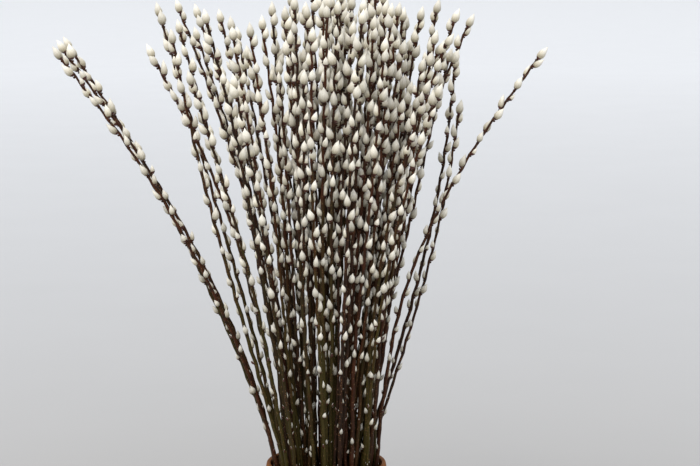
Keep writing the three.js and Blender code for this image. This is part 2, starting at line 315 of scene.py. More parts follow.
def willow_bark(settings):
    """Willow bark: smooth, thin and a little waxy, so it shines softly.

    Fine fibres run along it, it reddens towards the tip and turns olive in shade lower down, and
    pale pores dot it. The pores are drawn about twice their real 0.5 mm, so that they show.
    """
    material, tree = new_material("willow_bark")
    grain = mesh_attribute(tree, "grain", "Vector")
    tone = mesh_attribute(tree, "tone")
    height = height_of(tree, object_place(tree))
    # Patches of colour some 30 mm long, and fibres 0.6 mm wide and 20 mm long.
    patches = noise(tree, stretched(tree, grain, (220, 220, 34)), 1, Detail=3)
    fibres = noise(tree, stretched(tree, grain, (1600, 1600, 50)), 1, Detail=2)
    pore_place = stretched(tree, grain, (420, 420, 260))
    pores = add(tree, "ShaderNodeTexVoronoi", {"Vector": pore_place, "Scale": 1}).outputs["Distance"]
    low = ranged(tree, height, RIM * 3, RIM, 0, 1)
    olive = ranged(tree, maths(tree, "MULTIPLY_ADD", low, tone, patches), 0.75, 1.25, 0, 1)
    ruddy = made(tree, "ShaderNodeTexWhiteNoise", {"W": tone}, noise_dimensions="1D")
    browned = maths(tree, "ADD", ruddy, ranged(tree, patches, 0.3, 0.7, -0.3, 0.3), use_clamp=True)
    young = blended(tree, browned, settings.red_bark, settings.brown_bark)
    bark = blended(tree, olive, young, settings.olive_bark)
    streaked = shaded(tree, bark, ranged(tree, fibres, 0.25, 0.75, 0.55, 1.5))
    dotted = blended(tree, ranged(tree, pores, 0.26, 0.16, 0, 1), streaked, settings.lenticel)
    return with_shader(material, {
        "Base Color": dotted, "Roughness": ranged(tree, fibres, 0.2, 0.8, 0.45, 0.65),
        "Normal": relief_of(tree, fibres, 0.35, 0.3), "IOR": 1.4, "Specular IOR Level": 0.22})


def catkin_silk(settings):
    """Catkin silk: dense soft hairs that lie towards the tip, so light glows at their edges.

    The hairs are 0.02 mm wide and are drawn about 0.5 mm wide. They are whitest at the tip,
    their own silk with a painted highlight on it, silver-grey over the body, and darker near
    the bud scale, their own shorter hairs with painted shade on them.
    """
    material, tree = new_material("catkin_silk")
    tone = mesh_attribute(tree, "tone")
    hair_place = stretched(tree, mesh_attribute(tree, "grain", "Vector"), (14, 14, 2.2))
    hairs = made(tree, "ShaderNodeTexNoise",
                 {"W": tone, "Vector": hair_place, "Scale": 1, "Detail": 4, "Roughness": 0.65},
                 noise_dimensions="4D")
    waver = maths(tree, "SUBTRACT", hairs, 0.5)
    # Along each catkin the ramp paints shade at its foot and a highlight at its tip, over the silk's own
    # colours.
    silk = ramp_node(tree, maths(tree, "MULTIPLY_ADD", waver, 0.55, mesh_attribute(tree, "along")), [
        (0.0, settings.silk_base_and_shade), (0.26, settings.silk_body), (0.7, settings.silk_tip_and_highlight)])
    # Some catkins are fuller and whiter than others. Near the vase they are darkened, partly as painted
    # shade for the shade low in the bunch and partly as younger, greyer silk.
    grown = ranged(tree, height_of(tree, object_place(tree)), RIM, RIM * 2.2, 0.72, 1)
    toned = shaded(tree, silk, product(tree, ranged(tree, tone, 0, 1, 0.78, 1.06), grown))
    return with_shader(material, {
        "Base Color": toned, "Roughness": 0.85, "Normal": relief_of(tree, hairs, 0.6, 0.5), "IOR": 1.4,
        "Sheen Weight": 0.35, "Sheen Roughness": 0.45, "Specular IOR Level": 0.2,
        "Subsurface Weight": 0.12, "Subsurface Radius": (1, 0.9, 0.8), "Subsurface Scale": 1.2 * MM})


def bud_scale(settings):
    """Bud scale: a hard, varnished little hood, glossy red-brown with a dry dark edge."""
    material, tree = new_material("bud_scale")
    grain = mesh_attribute(tree, "grain", "Vector")
    streaks = noise(tree, stretched(tree, grain, (6, 6, 1.5)), 1, Detail=2)
    edge = product(tree, mesh_attribute(tree, "along"), streaks)
    skin = ramp_node(tree, edge, [(0.15, settings.scale_red), (0.6, settings.scale_brown)])
    return with_shader(material, {
        "Base Color": skin, "Roughness": 0.32, "Normal": relief_of(tree, streaks, 0.4, 0.2), "IOR": 1.5,
        "Coat Weight": 0.2, "Coat Roughness": 0.2})


def cut_willow(settings):
    """Cut willow: pale sapwood, dry and matt, mottled with the ends of its fibres."""
    material, tree = new_material("cut_willow")
    # Sawn fibres 0.4 mm across.
    fibres = noise(tree, object_place(tree), 2500, Detail=2)
    shade = ramp_node(tree, fibres, [(0.3, settings.dark_wood), (0.7, settings.cut_wood)])
    return with_shader(material, {
        "Base Color": shade, "Roughness": 0.8, "Normal": relief_of(tree, fibres, 0.5, 0.2)})


def caramel_stoneware(settings):
    """Caramel stoneware: fired clay with a thin satin glaze, toasted in cloudy patches.

    Iron specks about 1 mm across show through, and the glaze is smoother where it is paler.
    """
    material, tree = new_material("caramel_stoneware")
    place = object_place(tree)
    clouds = noise(tree, place, 14, Detail=5, Roughness=0.6)
    grit = noise(tree, place, 900, Detail=3)
    specks = add(tree, "ShaderNodeTexVoronoi", {"Vector": place, "Scale": 260}).outputs["Distance"]
    toast = ramp_node(tree, clouds, [(0.35, settings.dark_clay), (0.62, settings.clay)])
    specked = blended(tree, ranged(tree, specks, 0.2, 0.1, 0, 0.75), toast, settings.speck)
    return with_shader(material, {
        "Base Color": specked, "Roughness": ranged(tree, clouds, 0.3, 0.7, 0.7, 0.5),
        "Normal": relief_of(tree, grit, 0.3, 0.3), "IOR": 1.5, "Specular IOR Level": 0.08})


def pale_floor(settings):
    """Pale floor: matt painted board, faintly mottled, painted paler with distance as a painted glow of
    light, so that it melts into the light far off.
    """
    material, tree = new_material("pale_floor")
    place = object_place(tree)
    shade = ranged(tree, noise(tree, place, 3, Detail=4), 0.3, 0.7, 0.985, 1.0)
    away = add(tree, "ShaderNodeVectorMath", {0: place}, operation="LENGTH").outputs["Value"]
    # Painted light: the floor is painted paler with the number of digits in the distance, from under a
    # metre to over ten.
    far_light_painted = ranged(tree, maths(tree, "LOGARITHM", away, 10.0), -0.05, 1.12, 0, 1)
    paint = blended(tree, far_light_painted, settings.near_floor, settings.far_floor_painted_light)
    return with_shader(material, {
        "Base Color": shaded(tree, paint, shade), "Roughness": 0.9, "Specular IOR Level": 0.1})


# ---------------------------------------------------------------- reading the stems from the frame


FIRST_CUT = 2 * MM  # the first level cut stands this far above a stem's foot
FEWEST_CUTS = 5  # shorter runs than this many cuts are no strand
SMOOTHING_ROUNDS = 3


def merged(node_name):
    """A frame node's mesh with its loose triangles joined, as bmesh."""
    mesh = bmesh.new()
    mesh.from_mesh(frame["nodes"][node_name].data)
    bmesh.ops.remove_doubles(mesh, verts=mesh.verts, dist=SAME_PLACE)
    return mesh


def level_cuts(mesh, height):
    """The outlines that a level plane cuts from a solid: the middle and outside radius of each."""
    crossings = {}
    chords = []
    for face in mesh.faces:
        ends = []
        for edge in face.edges:
            a, b = (v.co for v in edge.verts)
            if (a.z > height) != (b.z > height):
                crossings[edge.index] = a.lerp(b, (height - a.z) / (b.z - a.z))
                ends.append(edge.index)
        if len(ends) == 2:
            chords.append(ends)
    neighbours = {}
    for a, b in chords:
        neighbours.setdefault(a, []).append(b)
        neighbours.setdefault(b, []).append(a)
    cuts = []
    waiting = set(crossings)
    while waiting:
        outline = []
        front = [waiting.pop()]
        while front:
            here = front.pop()
            outline.append(here)
            for other in neighbours.get(here, []):
                if other in waiting:
                    waiting.remove(other)
                    front.append(other)
        points = [crossings[i] for i in outline]
        middle = sum(points, Vector()) / len(points)
        cuts.append((middle, max((p - middle).length for p in points)))
    return cuts


class Strand:
    """One unbranched run of a stem: its middle line, its radii and the point it ends in."""

    def __init__(self, parent=None):
        self.parent = parent
        self.points = []
        self.radii = []
        self.tip = None

    def next_place(self):
        """Where the strand should be one level up, going on as it does."""
        return self.points[-1] * 2 - self.points[-2] if len(self.points) > 1 else self.points[-1]


def carried_on(growing, cuts, reach):
    """The strand that each cut carries on, nearest pairs first. A new shoot's cut gets none."""
    pairs = sorted(
        ((strand.next_place() - middle).xy.length, i, j)
        for i, strand in enumerate(growing) for j, (middle, _) in enumerate(cuts))
    owners = {}
    for distance, i, j in pairs:
        if distance < reach and j not in owners and growing[i] not in owners.values():
            owners[j] = growing[i]
    return [owners.get(j) for j in range(len(cuts))]


def without_stubs(strands):
    """Leaves out strands of a few cuts, which a fork that parts, touches and parts again makes."""
    kept = [s for s in strands if len(s.points) >= FEWEST_CUTS]
    for strand in kept:
        while strand.parent and strand.parent not in kept:
            strand.parent = strand.parent.parent
    return kept


def trace_strands(node_name, step):
    """Follows a stem's solid upwards in level cuts and tells its side shoots apart."""
    mesh = merged(node_name)
    mesh.edges.index_update()
    bottom = min(v.co.z for v in mesh.verts)
    top = max(v.co.z for v in mesh.verts)
    reach = 1.5 * step  # a strand goes on less than this far off, upwards and sideways
    strands = []
    height = bottom + FIRST_CUT
    while height < top:
        growing = [s for s in strands if s.points[-1].z > height - reach]
        cuts = level_cuts(mesh, height)
        owners = carried_on(growing, cuts, reach)
        for (middle, radius), strand in zip(cuts, owners):
            if strand is None:
                parent = min(growing, key=lambda s: (s.points[-1] - middle).xy.length, default=None)
                strand = Strand(parent)
                strands.append(strand)
            strand.points.append(middle)
            strand.radii.append(radius)
        height += step
    strands = without_stubs(strands)
    for strand in strands:
        last = strand.points[-1]
        above = [v.co for v in mesh.verts if 0 <= v.co.z - last.z <= step]
        near = [place for place in above if (place - last).xy.length < step]
        strand.tip = max(near, key=lambda p: p.z, default=last).copy()
    mesh.free()
    return strands


def smoothed(points, rounds):
    """Points with their kinks eased, and the ends kept."""
    for _ in range(rounds):
        points = [points[0]] + [
            (a + 2 * b + c) / 4 for a, b, c in zip(points, points[1:], points[2:])] + [points[-1]]
    return points


def middle_line(strand, settings, catkins):
    """A strand's middle as close, even points, each with its place, radius and heading.

    The line stops inside the catkin at the strand's tip, and a side shoot's starts inside its
    stem, a little below where the two part.
    """
    points = [p for p in strand.points if p.z < strand.tip.z - catkins.top_length]
    heading = (strand.tip - points[-1]).normalized()
    points.append(strand.tip - heading * catkins.top_length * CATKIN_SEAT)
    points = smoothed(points, SMOOTHING_ROUNDS)
    if strand.parent:
        root_height = strand.points[0].z - FORK_DROP
        points.insert(0, min(strand.parent.points, key=lambda p: abs(p.z - root_height)).copy())
    radii = [r for r, _ in zip(strand.radii, points)]
    radii += [radii[-1]] * (len(points) - len(radii))
    line = []
    for i, (a, b) in enumerate(zip(points, points[1:])):
        run = (b - a).length
        heading = (b - a).normalized()
        steps = max(1, round(run / settings.ring_spacing))
        for k in range(steps):
            radius = mix(radii[i], radii[i + 1], k / steps) * heading.z
            line.append({"at": a.lerp(b, k / steps), "radius": radius, "heading": heading})
    line.append({"at": points[-1].copy(), "radius": radii[-1] * heading.z, "heading": heading})
    for below, here in zip(line, line[1:]):
        here["radius"] = min(here["radius"], below["radius"] * MOST_THICKENING)
    travelled = 0
    for i, here in enumerate(line):
        here["along"] = travelled
        if i + 1 < len(line):
            travelled += (line[i + 1]["at"] - here["at"]).length
    return line


def at_distance(line, along):
    """The place on a middle line at a distance from its start."""
    low, high = 0, len(line) - 1
    while high - low > 1:
        half = (low + high) // 2
        if line[half]["along"] <= along:
            low = half
        else:
            high = half
    a, b = line[low], line[high]
    t = held((along - a["along"]) / max(b["along"] - a["along"], 1e-9))
    radius = mix(a["radius"], b["radius"], t)
    return {"at": a["at"].lerp(b["at"], t), "radius": radius, "heading": a["heading"]}


# ---------------------------------------------------------------- placing the buds

FULL, SLIM, TIGHT, CLOSED, SCAR = range(5)
KIND_SIZES = ((1, 1), (0.85, 1), (0.82, 0.8), (0.5, 0.5), (0.42, 0.42))  # shares of width and length
LENGTH_SPREAD = (0.76, 1.08)
WIDTH_SPREAD = (0.92, 1.1)
SPACING_SPREAD = (0.78, 1.22)
TURN_SPREAD = 0.25  # radians
PLUMPER_HIGH_UP = 1.06
CATKIN_SEAT = 0.86  # share of the end catkin's length that stands beyond the bark
FORK_DROP = 16 * MM  # a shoot's line starts this far below where it parts from its stem
MOST_THICKENING = 1.01  # from one ring to the next upwards
LEAF_TURN = math.radians(144)  # willow leaves and buds follow one another by two fifths of a turn
TRY_TURNS = [math.radians(a) for a in (0, 32, -32, 64, -64, 100, -100, 140, -140)]
BUD_CELL = 12 * MM  # side of the cells that the catkins are sorted into
BARK_SEARCH = 16 * MM  # how far off a catkin looks for other stems
MOST_ROOM = 5 * MM  # more room than this is no better
BODY_SHARE = 0.42  # half of a catkin's solid body, as a share of its width
BUD_LIFT = (12, 32)  # degrees between a bud and its stem
LIGHT_PULL = 0.1  # how far a bud turns up to the light
SEAT_DEPTH = 0.7  # a bud's foot stands at this share of the bark's radius
BETTER_BY = 0.3 * MM  # how much more room another side of the stem has to offer
SQUEEZE = 2.5 * MM  # a catkin that would cut deeper than this into a neighbour stays small
SQUEEZED = (0.78, 0.8)  # and this is its share of width and length
LOWEST_BUD = 40 * MM  # above a stem's foot
LOWEST_SHOOT_BUD = FORK_DROP + 10 * MM
ZIGZAG_REACH = 12 * MM  # length of stem, on either side of a bud, that steps aside
BARE_ABOVE_RIM = 6 * MM
SPARSE_ABOVE_RIM = 190 * MM
FULL_LENGTH_ABOVE_RIM = 430 * MM


def outward(heading, turn):
    """The direction square to a heading at a turn around it."""
    side = heading.cross(Vector((0, 1, 0))).normalized()
    return (Quaternion(heading, turn) @ side).normalized()


def bud_size(height, kind, settings, dice):
    """A bud's width and length at a height: catkins are smaller near the vase."""
    grown = held((height - RIM) / FULL_LENGTH_ABOVE_RIM)
    long = mix(settings.low_length, settings.top_length, grown) * dice.uniform(*LENGTH_SPREAD)
    wide = long * settings.slimness * dice.uniform(*WIDTH_SPREAD) * mix(1.0, PLUMPER_HIGH_UP, grown)
    width_share, length_share = KIND_SIZES[kind]
    return wide * width_share, long * length_share


def bud_kind(height, dice):
    """Which kind of bud stands at a height: bare scars in the vase, mostly full catkins high up."""
    if height < RIM + BARE_ABOVE_RIM:
        return SCAR
    grown = held((height - RIM) / SPARSE_ABOVE_RIM)
    if dice.random() > mix(0.4, 1.0, grown):
        return dice.choice((CLOSED, CLOSED, SCAR))
    return dice.choices((FULL, SLIM, TIGHT), (mix(1, 5, grown), 3, mix(3, 1, grown)))[0]


class BudGround:
    """Where stems and catkins already are, so that the next catkin can keep clear of them."""

    def __init__(self, lines):
        self.owners = [key for key, line in lines.items() for _ in line]
        self.radii = [here["radius"] for line in lines.values() for here in line]
        self.bark = KDTree(len(self.owners))
        for i, here in enumerate(here for line in lines.values() for here in line):
            self.bark.insert(here["at"], i)
        self.bark.balance()
        self.catkins = {}

    def cell(self, place):
        """The cell of a place."""
        return tuple(math.floor(c / BUD_CELL) for c in place)

    def take(self, place, half_width):
        """Notes a catkin that stands at a place."""
        self.catkins.setdefault(self.cell(place), []).append((place, half_width))

    def room(self, place, half_width, owner):
        """How far a catkin's middle keeps from its neighbours; below zero it cuts into one."""
        least = MOST_ROOM
        for _, i, distance in self.bark.find_range(place, BARK_SEARCH):
            if self.owners[i] != owner:
                least = min(least, distance - self.radii[i] - half_width)
        for step in itertools.product((-1, 0, 1), repeat=3):
            cell = tuple(c + d for c, d in zip(self.cell(place), step))
            for other, width in self.catkins.get(cell, []):
                least = min(least, (other - place).length - width - half_width)
        return least


def grow_bud(here, kind, turn, owner, ground, settings, dice):
    """Sets one bud on the bark, on the side of the stem where it has most room."""
    height = here["at"].z
    wide, long = bud_size(height, kind, settings, dice)
    lift = math.radians(dice.uniform(*BUD_LIFT))
    best = None
    for extra in TRY_TURNS:
        away = outward(here["heading"], turn + extra)
        raised = here["heading"] * math.cos(lift) + away * math.sin(lift)
        pointing = (raised + UP * LIGHT_PULL).normalized()
        foot = here["at"] + away * here["radius"] * SEAT_DEPTH
        middle = foot + pointing * long / 2
        room = ground.room(middle, wide * BODY_SHARE, owner)
        if best is None or room > best[0] + BETTER_BY:
            best = (room, away, pointing, foot, middle)
        if room >= 0 or kind == SCAR:
            break
    room, away, pointing, foot, middle = best
    if room < -SQUEEZE and kind in (FULL, SLIM):
        kind = TIGHT
        wide, long = wide * SQUEEZED[0], long * SQUEEZED[1]
    ground.take(middle, wide * BODY_SHARE)
    across = (away - pointing * away.dot(pointing)).normalized()
    turned = Matrix((across, pointing.cross(across), pointing)).transposed().to_quaternion()
    return {"foot": foot, "turned": turned, "scale": Vector((wide, wide, long)), "kind": kind,
            "away": away, "tone": dice.random(), "along": here["along"]}


def end_bud(end, ground, settings, dice):
    """The catkin at a strand's tip, seated over the end of the bark."""
    long = settings.top_length
    wide = long * settings.slimness
    heading = end["heading"]
    across = outward(heading, 0)
    turned = Matrix((across, heading.cross(across), heading)).transposed().to_quaternion()
    ground.take(end["at"] + heading * long * 0.4, long * 0.25)
    foot = end["at"] - heading * long * (1 - CATKIN_SEAT) * 0.6
    return {"foot": foot, "turned": turned, "scale": Vector((wide, wide, long)), "kind": FULL,
            "away": across, "tone": dice.random(), "along": end["along"]}


def grow_buds(line, owner, is_shoot, ground, settings, dice):
    """All the buds of one strand, from its end catkin down."""
    end = line[-1]
    buds = [end_bud(end, ground, settings, dice)]
    along = end["along"] - settings.top_spacing * 0.75
    turn = dice.uniform(0, 2 * math.pi)
    while along > (LOWEST_SHOOT_BUD if is_shoot else LOWEST_BUD):
        here = at_distance(line, along)
        here["along"] = along
        kind = bud_kind(here["at"].z, dice)
        buds.append(grow_bud(here, kind, turn, owner, ground, settings, dice))
        turn += LEAF_TURN + dice.uniform(-TURN_SPREAD, TURN_SPREAD)
        depth = held((end["at"].z - here["at"].z) / (end["at"].z - RIM))
        along -= mix(settings.top_spacing, settings.low_spacing, depth) * dice.uniform(*SPACING_SPREAD)
    return buds


def step_aside(line, buds, settings):
    """Bends a middle line a little away from each bud, as a willow shoot zigzags."""
    for bud in buds[1:]:
        for here in line:
            near = 1 - abs(here["along"] - bud["along"]) / ZIGZAG_REACH
            if near > 0:
                here["at"] = here["at"] - bud["away"] * settings.zigzag * near


# ---------------------------------------------------------------- the willow's node trees


def float_curve(tree, factor, points):
    """A curve that turns a share from 0 to 1 into a value from 0 to 1."""
    node = add(tree, "ShaderNodeFloatCurve", {"Value": factor})
    curve = node.mapping.curves[0]
    curve.points[0].location = points[0]
    curve.points[1].location = points[-1]
    for point in points[1:-1]:
        curve.points.new(*point)
    node.mapping.update()
    return node.outputs[0]


def new_tree(name, inputs):
    """A geometry node tree with named inputs and one geometry output."""
    tree = bpy.data.node_groups.new(name, "GeometryNodeTree")
    for socket_name, kind, default in inputs:
        socket = tree.interface.new_socket(socket_name, in_out="INPUT", socket_type=kind)
        if default is not None:
            socket.default_value = default
    tree.interface.new_socket("Geometry", in_out="OUTPUT", socket_type="NodeSocketGeometry")
    return tree, add(tree, "NodeGroupInput").outputs


def named(tree, attribute, data_type):
    """Reads a named attribute."""
    return made(tree, "GeometryNodeInputNamedAttribute", {"Name": attribute}, data_type=data_type)


def store(tree, geometry, attribute, value, data_type, domain="POINT", where=True):
    """Writes a named attribute."""
    values = {"Geometry": geometry, "Name": attribute, "Value": value, "Selection": where}
    return made(tree, "GeometryNodeStoreNamedAttribute", values, data_type=data_type, domain=domain)


def compared(tree, first, second, operation):
    """Whether two whole numbers compare as asked."""
    return made(tree, "FunctionNodeCompare", {2: first, 3: second}, data_type="INT", operation=operation)


def circle(tree, sides, radius):
    """A round outline to sweep."""
    inputs = {"Resolution": sides, "Radius": radius}
    return made(tree, "GeometryNodeCurvePrimitiveCircle", inputs, mode="RADIUS")


def tube(tree, rail, outline, scale):
    """An outline swept along a rail, with its ends filled."""
    inputs = {"Curve": rail, "Profile Curve": outline, "Scale": scale, "Fill Caps": True}
    return made(tree, "GeometryNodeCurveToMesh", inputs)


def joined(tree, pieces):
    """Several geometries as one."""
    whole = add(tree, "GeometryNodeJoinGeometry")
    for piece in pieces:
        tree.links.new(piece, whole.inputs[0])
    return whole.outputs[0]


def finished(tree, geometry, number, where=True):
    """Gives faces the number of their finish."""
    return store(tree, geometry, "finish", number, "INT", domain="FACE", where=where)


BARK, SILK, SCALE, WOOD = range(4)
FACES_DOWN = -0.8  # a face whose normal's upward part is below this is a cut end


def swept(tree, start, end, rings, sides, radius_of, finish):
    """A closed body swept along local Z, with the attributes that its material reads.

    radius_of turns the share of the way along into a radius share.
    """
    rail = made(tree, "GeometryNodeCurvePrimitiveLine", {"Start": (0, 0, start), "End": (0, 0, end)})
    rail = made(tree, "GeometryNodeResampleCurve", {"Curve": rail, "Count": rings}, mode="COUNT")
    place = made(tree, "GeometryNodeInputPosition")
    rail = store(tree, rail, "along", height_of(tree, place), "FLOAT")
    skin = tube(tree, rail, circle(tree, sides, 0.5), radius_of(named(tree, "along", "FLOAT")))
    skin = made(tree, "GeometryNodeMergeByDistance", {"Geometry": skin, "Distance": 0.004})
    grained = store(tree, skin, "grain", place, "FLOAT_VECTOR")
    return finished(tree, grained, finish)


# A catkin's outline: the share of the way along, and the share of its full width there.
CATKIN_OUTLINE = (
    (0, 0.3), (0.1, 0.64), (0.22, 0.92), (0.36, 1), (0.55, 0.86), (0.73, 0.54), (0.88, 0.22), (1, 0))


def silk_body(tree, given, place):
    """The silk of a catkin at unit size, ruffled into tufts."""
    def radius(way):
        return product(tree, float_curve(tree, way, CATKIN_OUTLINE), given["Fullness"])

    silk = swept(tree, 0.0, 1.0, given["Rings"], given["Sides"], radius, SILK)
    tufts = made(tree, "ShaderNodeTexNoise",
                 {"Vector": place, "W": given["Seed"], "Scale": 5.5, "Detail": 1}, noise_dimensions="4D")
    puff = product(tree, maths(tree, "SUBTRACT", tufts, 0.5), given["Ruffle"])
    normal = made(tree, "GeometryNodeInputNormal")
    offset = made(tree, "ShaderNodeVectorMath", {0: normal, "Scale": puff}, operation="SCALE")
    return made(tree, "GeometryNodeSetPosition", {"Geometry": silk, "Offset": offset})


def scale_hood(tree, given, place):
    """The bud scale, snug over the catkin's foot, higher on its outer side than by the stem."""
    def radius(way):
        covered = product(tree, way, given["Scale Cover"])
        silk_there = product(tree, float_curve(tree, covered, CATKIN_OUTLINE), given["Fullness"])
        return maths(tree, "MULTIPLY_ADD", silk_there, 1.06, 0.03)

    hood = swept(tree, -0.03, 0.42, 5, 7, radius, SCALE)
    across, aside, height = add(tree, "ShaderNodeSeparateXYZ", {0: place}).outputs
    raised = maths(tree, "MULTIPLY_ADD", across, 0.45, 1.0)
    height = product(tree, product(tree, height, given["Scale Cover"]), raised)
    hood_place = made(tree, "ShaderNodeCombineXYZ", {0: across, 1: aside, 2: height})
    return made(tree, "GeometryNodeSetPosition", {
        "Geometry": hood, "Position": hood_place, "Offset": (0.015, 0, 0)})


def leaf_scar(tree, place):
    """The small cushion below a bud, where last year's leaf stood."""
    ball = made(tree, "GeometryNodeMeshUVSphere", {"Segments": 6, "Rings": 4, "Radius": 0.16})
    scar = made(tree, "GeometryNodeTransform", {
        "Geometry": ball, "Translation": (0.14, 0, -0.1), "Scale": (0.8, 1.5, 0.5)})
    scar = store(tree, scar, "grain", place, "FLOAT_VECTOR")
    return finished(tree, scar, BARK)


def catkin_tree():
    """One bud at unit size, its foot at the origin: silk body, bud scale and leaf scar.

    Local Z runs along the bud and local X points away from the stem.
    """
    tree, given = new_tree("Catkin", [
        ("Sides", "NodeSocketInt", 8),
        ("Rings", "NodeSocketInt", 9),
        ("Bend", "NodeSocketFloat", 0.1),
        ("Scale Cover", "NodeSocketFloat", 0.3),
        ("Fullness", "NodeSocketFloat", 1.0),
        ("Ruffle", "NodeSocketFloat", 0.1),
        ("Seed", "NodeSocketFloat", 0.0)])
    place = made(tree, "GeometryNodeInputPosition")
    whole = joined(tree, (
        silk_body(tree, given, place), scale_hood(tree, given, place), leaf_scar(tree, place)))
    # The bud curves back towards the stem.
    height = height_of(tree, place)
    back = product(tree, product(tree, product(tree, height, height), given["Bend"]), -1.0)
    offset = made(tree, "ShaderNodeCombineXYZ", {0: back})
    bent = made(tree, "GeometryNodeSetPosition", {"Geometry": whole, "Offset": offset})
    add(tree, "NodeGroupOutput", {0: bent})
    return tree


# Shape of each kind of bud, in the order of its number.
BUD_SHAPES = (
    {"Bend": 0.10, "Scale Cover": 0.26, "Fullness": 1.00, "Ruffle": 0.14, "Seed": 1.3},
    {"Bend": 0.18, "Scale Cover": 0.36, "Fullness": 0.94, "Ruffle": 0.12, "Seed": 4.1},
    {"Bend": 0.12, "Scale Cover": 0.66, "Fullness": 0.92, "Ruffle": 0.10, "Seed": 7.7},
    {"Bend": 0.08, "Scale Cover": 1.90, "Fullness": 0.86, "Ruffle": 0.04, "Seed": 9.2},
    {"Bend": 0.00, "Scale Cover": 1.20, "Fullness": 0.50, "Ruffle": 0.00, "Seed": 2.9},
)


def bark_skin(tree, given, buds):
    """Bark swept along the middle lines, swollen below each bud, with the fibres' own coordinates."""
    rail = made(tree, "GeometryNodeMeshToCurve", {"Mesh": given["Geometry"]})
    rail = made(tree, "GeometryNodeCurveSplineType", {"Curve": rail}, spline_type="CATMULL_ROM")
    step = given["Ring Spacing"]
    rail = made(tree, "GeometryNodeResampleCurve", {"Curve": rail, "Length": step}, mode="LENGTH")
    run = add(tree, "GeometryNodeSplineParameter").outputs["Length"]
    rail = store(tree, rail, "run", run, "FLOAT")
    near = add(tree, "GeometryNodeProximity", {"Geometry": buds}, target_element="POINTS")
    swell = ranged(
        tree, near.outputs["Distance"], 0.0, given["Swelling Reach"], given["Node Swelling"], 0.0,
        interpolation_type="SMOOTHSTEP")
    rod_radius = named(tree, "rod_radius", "FLOAT")
    ring = circle(tree, given["Sides"], 1.0)
    ring = store(tree, ring, "round_place", made(tree, "GeometryNodeInputPosition"), "FLOAT_VECTOR")
    skin = tube(tree, rail, ring, maths(tree, "ADD", rod_radius, swell))
    round_place = named(tree, "round_place", "FLOAT_VECTOR")
    around = made(tree, "ShaderNodeVectorMath", {0: round_place, "Scale": rod_radius}, operation="SCALE")
    upward = made(tree, "ShaderNodeCombineXYZ", {2: named(tree, "run", "FLOAT")})
    grain = made(tree, "ShaderNodeVectorMath", {0: around, 1: upward}, operation="ADD")
    skin = store(tree, skin, "grain", grain, "FLOAT_VECTOR")
    skin = finished(tree, skin, BARK)
    facing = height_of(tree, made(tree, "GeometryNodeInputNormal"))
    is_cut = made(tree, "FunctionNodeCompare", {0: facing, 1: FACES_DOWN}, operation="LESS_THAN")
    return finished(tree, skin, WOOD, is_cut)


def standing_buds(tree, buds, kind):
    """At every bud point, a bud of its kind, turned and sized as the point says."""
    catkin = catkin_tree()
    shapes = []
    for shape in reversed(BUD_SHAPES):  # the last piece joined comes first
        one = made(tree, "GeometryNodeGroup", shape, node_tree=catkin)
        shapes.append(made(tree, "GeometryNodeGeometryToInstance", {0: one}))
    return made(tree, "GeometryNodeInstanceOnPoints", {
        "Points": buds, "Instance": joined(tree, shapes), "Pick Instance": True, "Instance Index": kind,
        "Rotation": named(tree, "bud_turned", "QUATERNION"),
        "Scale": named(tree, "bud_scale", "FLOAT_VECTOR")})


def stem_tree():
    """A willow stem: bark swept along its middle line, with a bud of its kind at every bud point."""
    tree, given = new_tree("Willow Stem", [
        ("Geometry", "NodeSocketGeometry", None),
        ("Ring Spacing", "NodeSocketFloat", 0.004),
        ("Sides", "NodeSocketInt", 8),
        ("Node Swelling", "NodeSocketFloat", 0.0007),
        ("Swelling Reach", "NodeSocketFloat", 0.006),
        ("Bark", "NodeSocketMaterial", None),
        ("Silk", "NodeSocketMaterial", None),
        ("Bud Scale", "NodeSocketMaterial", None),
        ("Cut Wood", "NodeSocketMaterial", None)])
    kind = named(tree, "bud_kind", "INT")
    is_bud = compared(tree, kind, 0, "GREATER_EQUAL")
    buds = made(tree, "GeometryNodeMeshToPoints", {"Mesh": given["Geometry"], "Selection": is_bud})
    whole = joined(tree, (bark_skin(tree, given, buds), standing_buds(tree, buds, kind)))
    stem = made(tree, "GeometryNodeSetShadeSmooth", {"Geometry": whole})
    stem = made(tree, "GeometryNodeRealizeInstances", {"Geometry": stem})
    finish = named(tree, "finish", "INT")
    for number, name in ((BARK, "Bark"), (SILK, "Silk"), (SCALE, "Bud Scale"), (WOOD, "Cut Wood")):
        chosen = compared(tree, finish, number, "EQUAL")
        stem = made(tree, "GeometryNodeSetMaterial", {
            "Geometry": stem, "Selection": chosen, "Material": given[name]})
    add(tree, "NodeGroupOutput", {0: stem})
    return tree


# What each point of a stem's skeleton carries: attribute, type, field and the value on a bare line.
POINT_COLUMNS = (
    ("rod_radius", "FLOAT", "value", 0),
    ("bud_kind", "INT", "value", -1),
    ("bud_turned", "QUATERNION", "value", (1, 0, 0, 0)),
    ("bud_scale", "FLOAT_VECTOR", "vector", (1, 1, 1)),
    ("tone", "FLOAT", "value", 0))


def stem_skeleton(name, strands):
    """A stem's middle lines as edges and its buds as loose points, with what the tree reads."""
    places, edges, carried = [], [], []
    for line, _, tone in strands:
        for i, here in enumerate(line):
            if i:
                edges.append((len(places) - 1, len(places)))
            places.append(here["at"])
            carried.append({"rod_radius": here["radius"], "tone": tone})
    for _, buds, _ in strands:
        for bud in buds:
            places.append(bud["foot"])
            carried.append({"bud_kind": bud["kind"], "bud_turned": tuple(bud["turned"]),
                            "bud_scale": tuple(bud["scale"]), "tone": bud["tone"]})
    mesh = bpy.data.meshes.new(name)
    mesh.from_pydata(places, edges, [])
    for column, data_type, field, bare in POINT_COLUMNS:
        for item, values in zip(mesh.attributes.new(column, data_type, "POINT").data, carried):
            setattr(item, field, values.get(column, bare))
    return mesh


